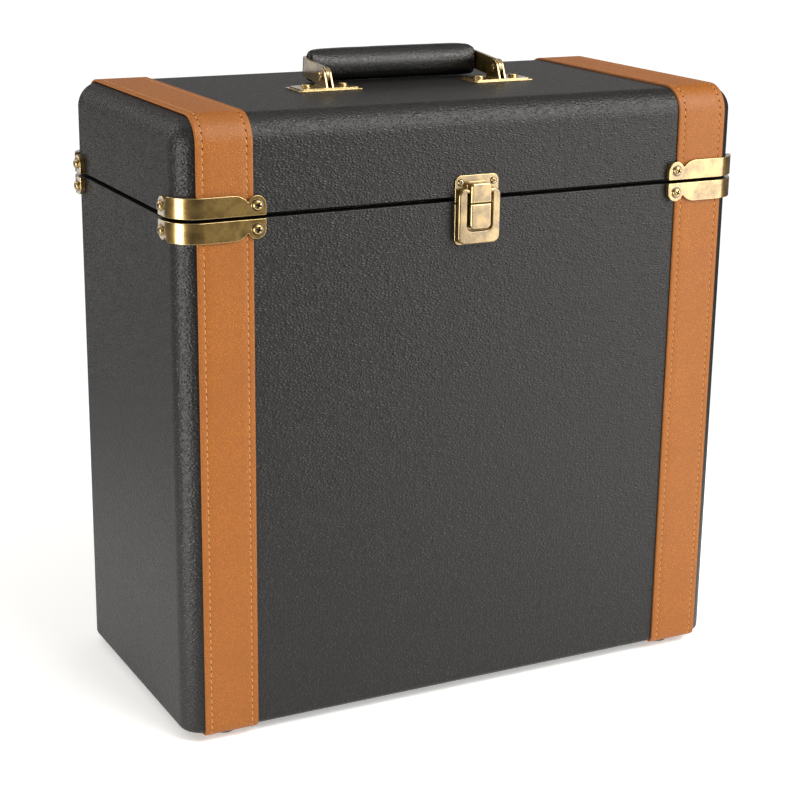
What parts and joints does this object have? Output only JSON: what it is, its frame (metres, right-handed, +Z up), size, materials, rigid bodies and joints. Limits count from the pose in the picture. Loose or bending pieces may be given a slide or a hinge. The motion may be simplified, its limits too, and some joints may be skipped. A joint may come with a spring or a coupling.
{
  "type": "record carrying case",
  "caption": "Upright board carrying case for long-playing records: hinged lid, hasp latch, folding top handle, covered sides with two straps, corner brackets and rubber feet.",
  "frame": {"origin": "on the floor under the middle of the closed case", "axes": "+Z up; the latch is on the -Y side and the hinges on the +Y side; +X along the case's width"},
  "size_m": [0.3646, 0.1858, 0.3748],
  "materials": {
    "board": "medium-density board, unfinished",
    "covering": "pebble-grained coated cloth, satin",
    "lining": "flocked board",
    "lip": "black edge board",
    "band": "tan strap, smooth",
    "rubber": "moulded",
    "grip": "stitched over padding",
    "brass_fixings": "antique brass, rubbed bright on high spots",
    "brass_plate": "antique brass, rubbed bright on high spots"
  },
  "bodies": {
    "case": {"body_carcass": "board", "body_covering": "covering", "body_lining": "lining", "body_rim_lip": "lip", "latch_catch_plate": "brass_plate", "body_band_left": "band", "body_band_right": "band", "hinge_body_leaf_left": "brass_plate", "hinge_body_leaf_right": "brass_plate", "hinge_pin_left": "brass_fixings", "hinge_pin_right": "brass_fixings", "foot_front_left": "rubber", "foot_rear_left": "rubber", "foot_front_right": "rubber", "foot_rear_right": "rubber", "body_corner_front_left": "brass_plate", "body_corner_rear_left": "brass_plate", "body_corner_front_right": "brass_plate", "body_corner_rear_right": "brass_plate"},
    "lid": {"lid_carcass": "board", "lid_covering": "covering", "lid_lining": "lining", "latch_lid_plate": "brass_plate", "lid_band_left": "band", "lid_band_right": "band", "hinge_lid_leaf_left": "brass_plate", "hinge_lid_leaf_right": "brass_plate", "handle_base_left": "brass_plate", "handle_base_right": "brass_plate", "handle_rivet_left": "brass_fixings", "handle_rivet_right": "brass_fixings", "lid_corner_front_left": "brass_plate", "lid_corner_rear_left": "brass_plate", "lid_corner_front_right": "brass_plate", "lid_corner_rear_right": "brass_plate"},
    "latch_hasp": {"latch_ring": "brass_plate"},
    "handle": {"handle_strap": "brass_plate", "handle_grip": "grip"}
  },
  "joints": [
    {"name": "lid_hinge", "type": "hinge", "parent": "case", "child": "lid", "pos_m": [0, 0.0895, 0.3015], "axis": [-1, 0, 0], "range_deg": [0, 105]},
    {"name": "hasp_hinge", "type": "hinge", "parent": "lid", "child": "latch_hasp", "pos_m": [0, -0.0904, 0.30615], "axis": [-1, 0, 0], "range_deg": [0, 150]},
    {"name": "handle_hinge", "type": "hinge", "parent": "lid", "child": "handle", "pos_m": [0, -0.007, 0.3622], "axis": [1, 0, 0], "range_deg": [0, 169.74]}
  ]
}
